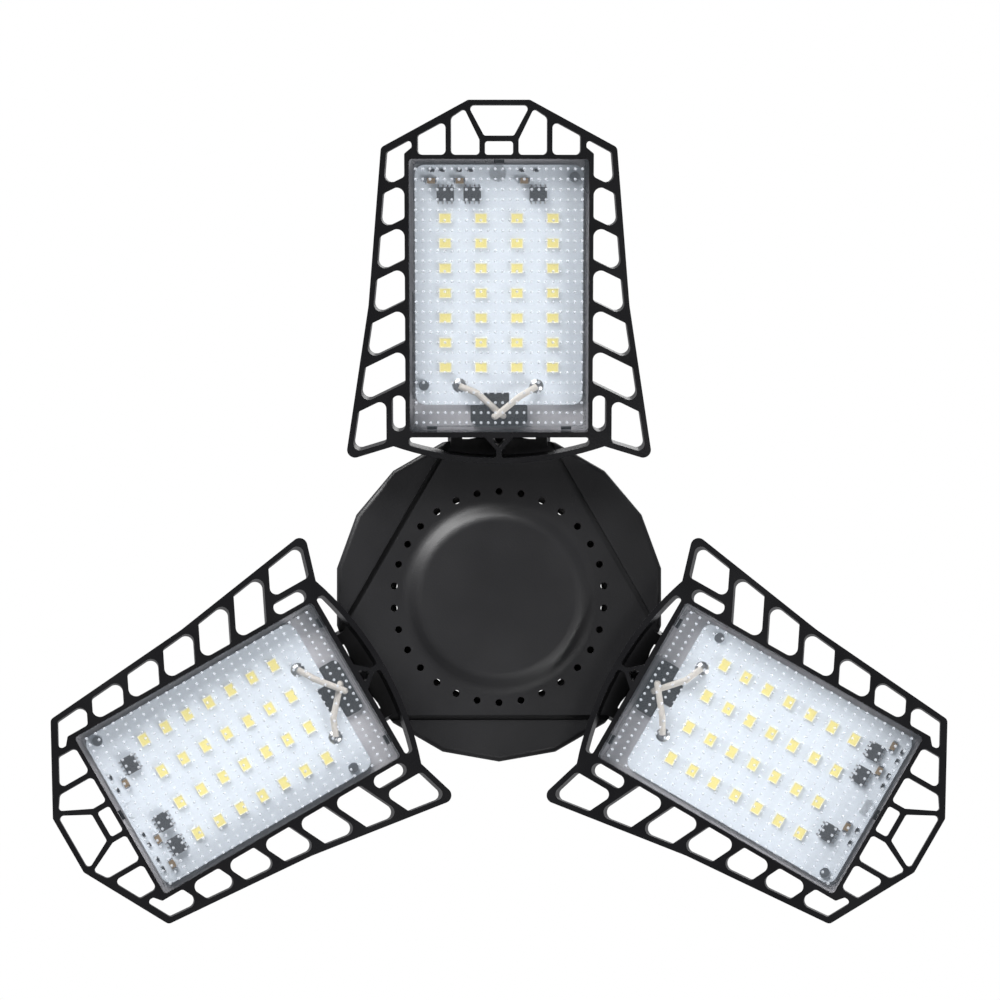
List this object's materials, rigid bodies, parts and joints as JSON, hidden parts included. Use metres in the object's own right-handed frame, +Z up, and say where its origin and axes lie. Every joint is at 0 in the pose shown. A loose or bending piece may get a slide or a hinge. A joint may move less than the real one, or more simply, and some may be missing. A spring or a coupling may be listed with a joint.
{
  "type": "folding panel ceiling light",
  "caption": "Screw-in ceiling lamp: black hub with vented domed face and lattice-framed light panels on friction hinges that fold up round the neck.",
  "frame": {"origin": "on the screw cap's axis, in the plane of its seat where the shell meets the neck", "axes": "+Z up along the cap's axis into the lampholder; the light goes to -Z; the first panel points to -Y; X is to the right for someone below who has the first panel ahead"},
  "size_m": [0.2492, 0.2284, 0.115],
  "materials": {
    "hub_plastic": "satin black moulded plastic with a fine grain",
    "cap_metal": "plated screw cap",
    "cap_insulator": "glossy black insulator",
    "contact_metal": "tinned contact",
    "steel": "zinc-plated steel",
    "splice": "off-white heat-shrink sleeve",
    "mains_lead": "black insulation",
    "panel_lead": "black insulation",
    "white_lead": "off-white insulation",
    "frame_metal": "black powder coat on die-cast aluminium",
    "board": "white solder mask on an aluminium board",
    "led": "yellow phosphor in a white package",
    "chip": "black moulded chip with tinned legs",
    "small_part": "tan and black surface-mount parts",
    "solder": "bright solder",
    "lens": "clear moulded plastic",
    "grommet": "black rubber"
  },
  "bodies": {
    "hub": {"hub_front_cover": "hub_plastic", "hub_rear_housing": "hub_plastic", "cap_shell": "cap_metal", "cap_insulator": "cap_insulator", "cap_contact": "contact_metal", "lead_splices": "splice", "mains_leads": "mains_lead", "hub_leads": "panel_lead", "cover_screws": "steel", "hinge_screws": "steel", "hinge_nuts": "steel", "friction_washers": "steel", "hinge_leads_1": "panel_lead", "hinge_leads_2": "panel_lead", "hinge_leads_3": "panel_lead"},
    "panel_1": {"panel_frame_1": "frame_metal", "led_board_1": "board", "leds_1": "led", "driver_chips_1": "chip", "small_parts_1": "small_part", "board_screws_1": "steel", "solder_joints_1": "solder", "lens_1": "lens", "grommet_1": "grommet", "board_leads_1": "white_lead"},
    "panel_2": {"panel_frame_2": "frame_metal", "led_board_2": "board", "leds_2": "led", "driver_chips_2": "chip", "small_parts_2": "small_part", "board_screws_2": "steel", "solder_joints_2": "solder", "lens_2": "lens", "grommet_2": "grommet", "board_leads_2": "white_lead"},
    "panel_3": {"panel_frame_3": "frame_metal", "led_board_3": "board", "leds_3": "led", "driver_chips_3": "chip", "small_parts_3": "small_part", "board_screws_3": "steel", "solder_joints_3": "solder", "lens_3": "lens", "grommet_3": "grommet", "board_leads_3": "white_lead"}
  },
  "joints": [
    {"name": "panel_1_fold", "type": "hinge", "parent": "hub", "child": "panel_1", "pos_m": [0, -0.0495, -0.057], "axis": [-1, 0, 0], "range_deg": [-4, 99], "deforming": ["hinge_leads_1"]},
    {"name": "panel_2_fold", "type": "hinge", "parent": "hub", "child": "panel_2", "pos_m": [-0.04287, 0.02475, -0.057], "axis": [0.5, 0.866, 0], "range_deg": [-4, 99], "deforming": ["hinge_leads_2"]},
    {"name": "panel_3_fold", "type": "hinge", "parent": "hub", "child": "panel_3", "pos_m": [0.04287, 0.02475, -0.057], "axis": [0.5, -0.866, 0], "range_deg": [-4, 99], "deforming": ["hinge_leads_3"]}
  ]
}
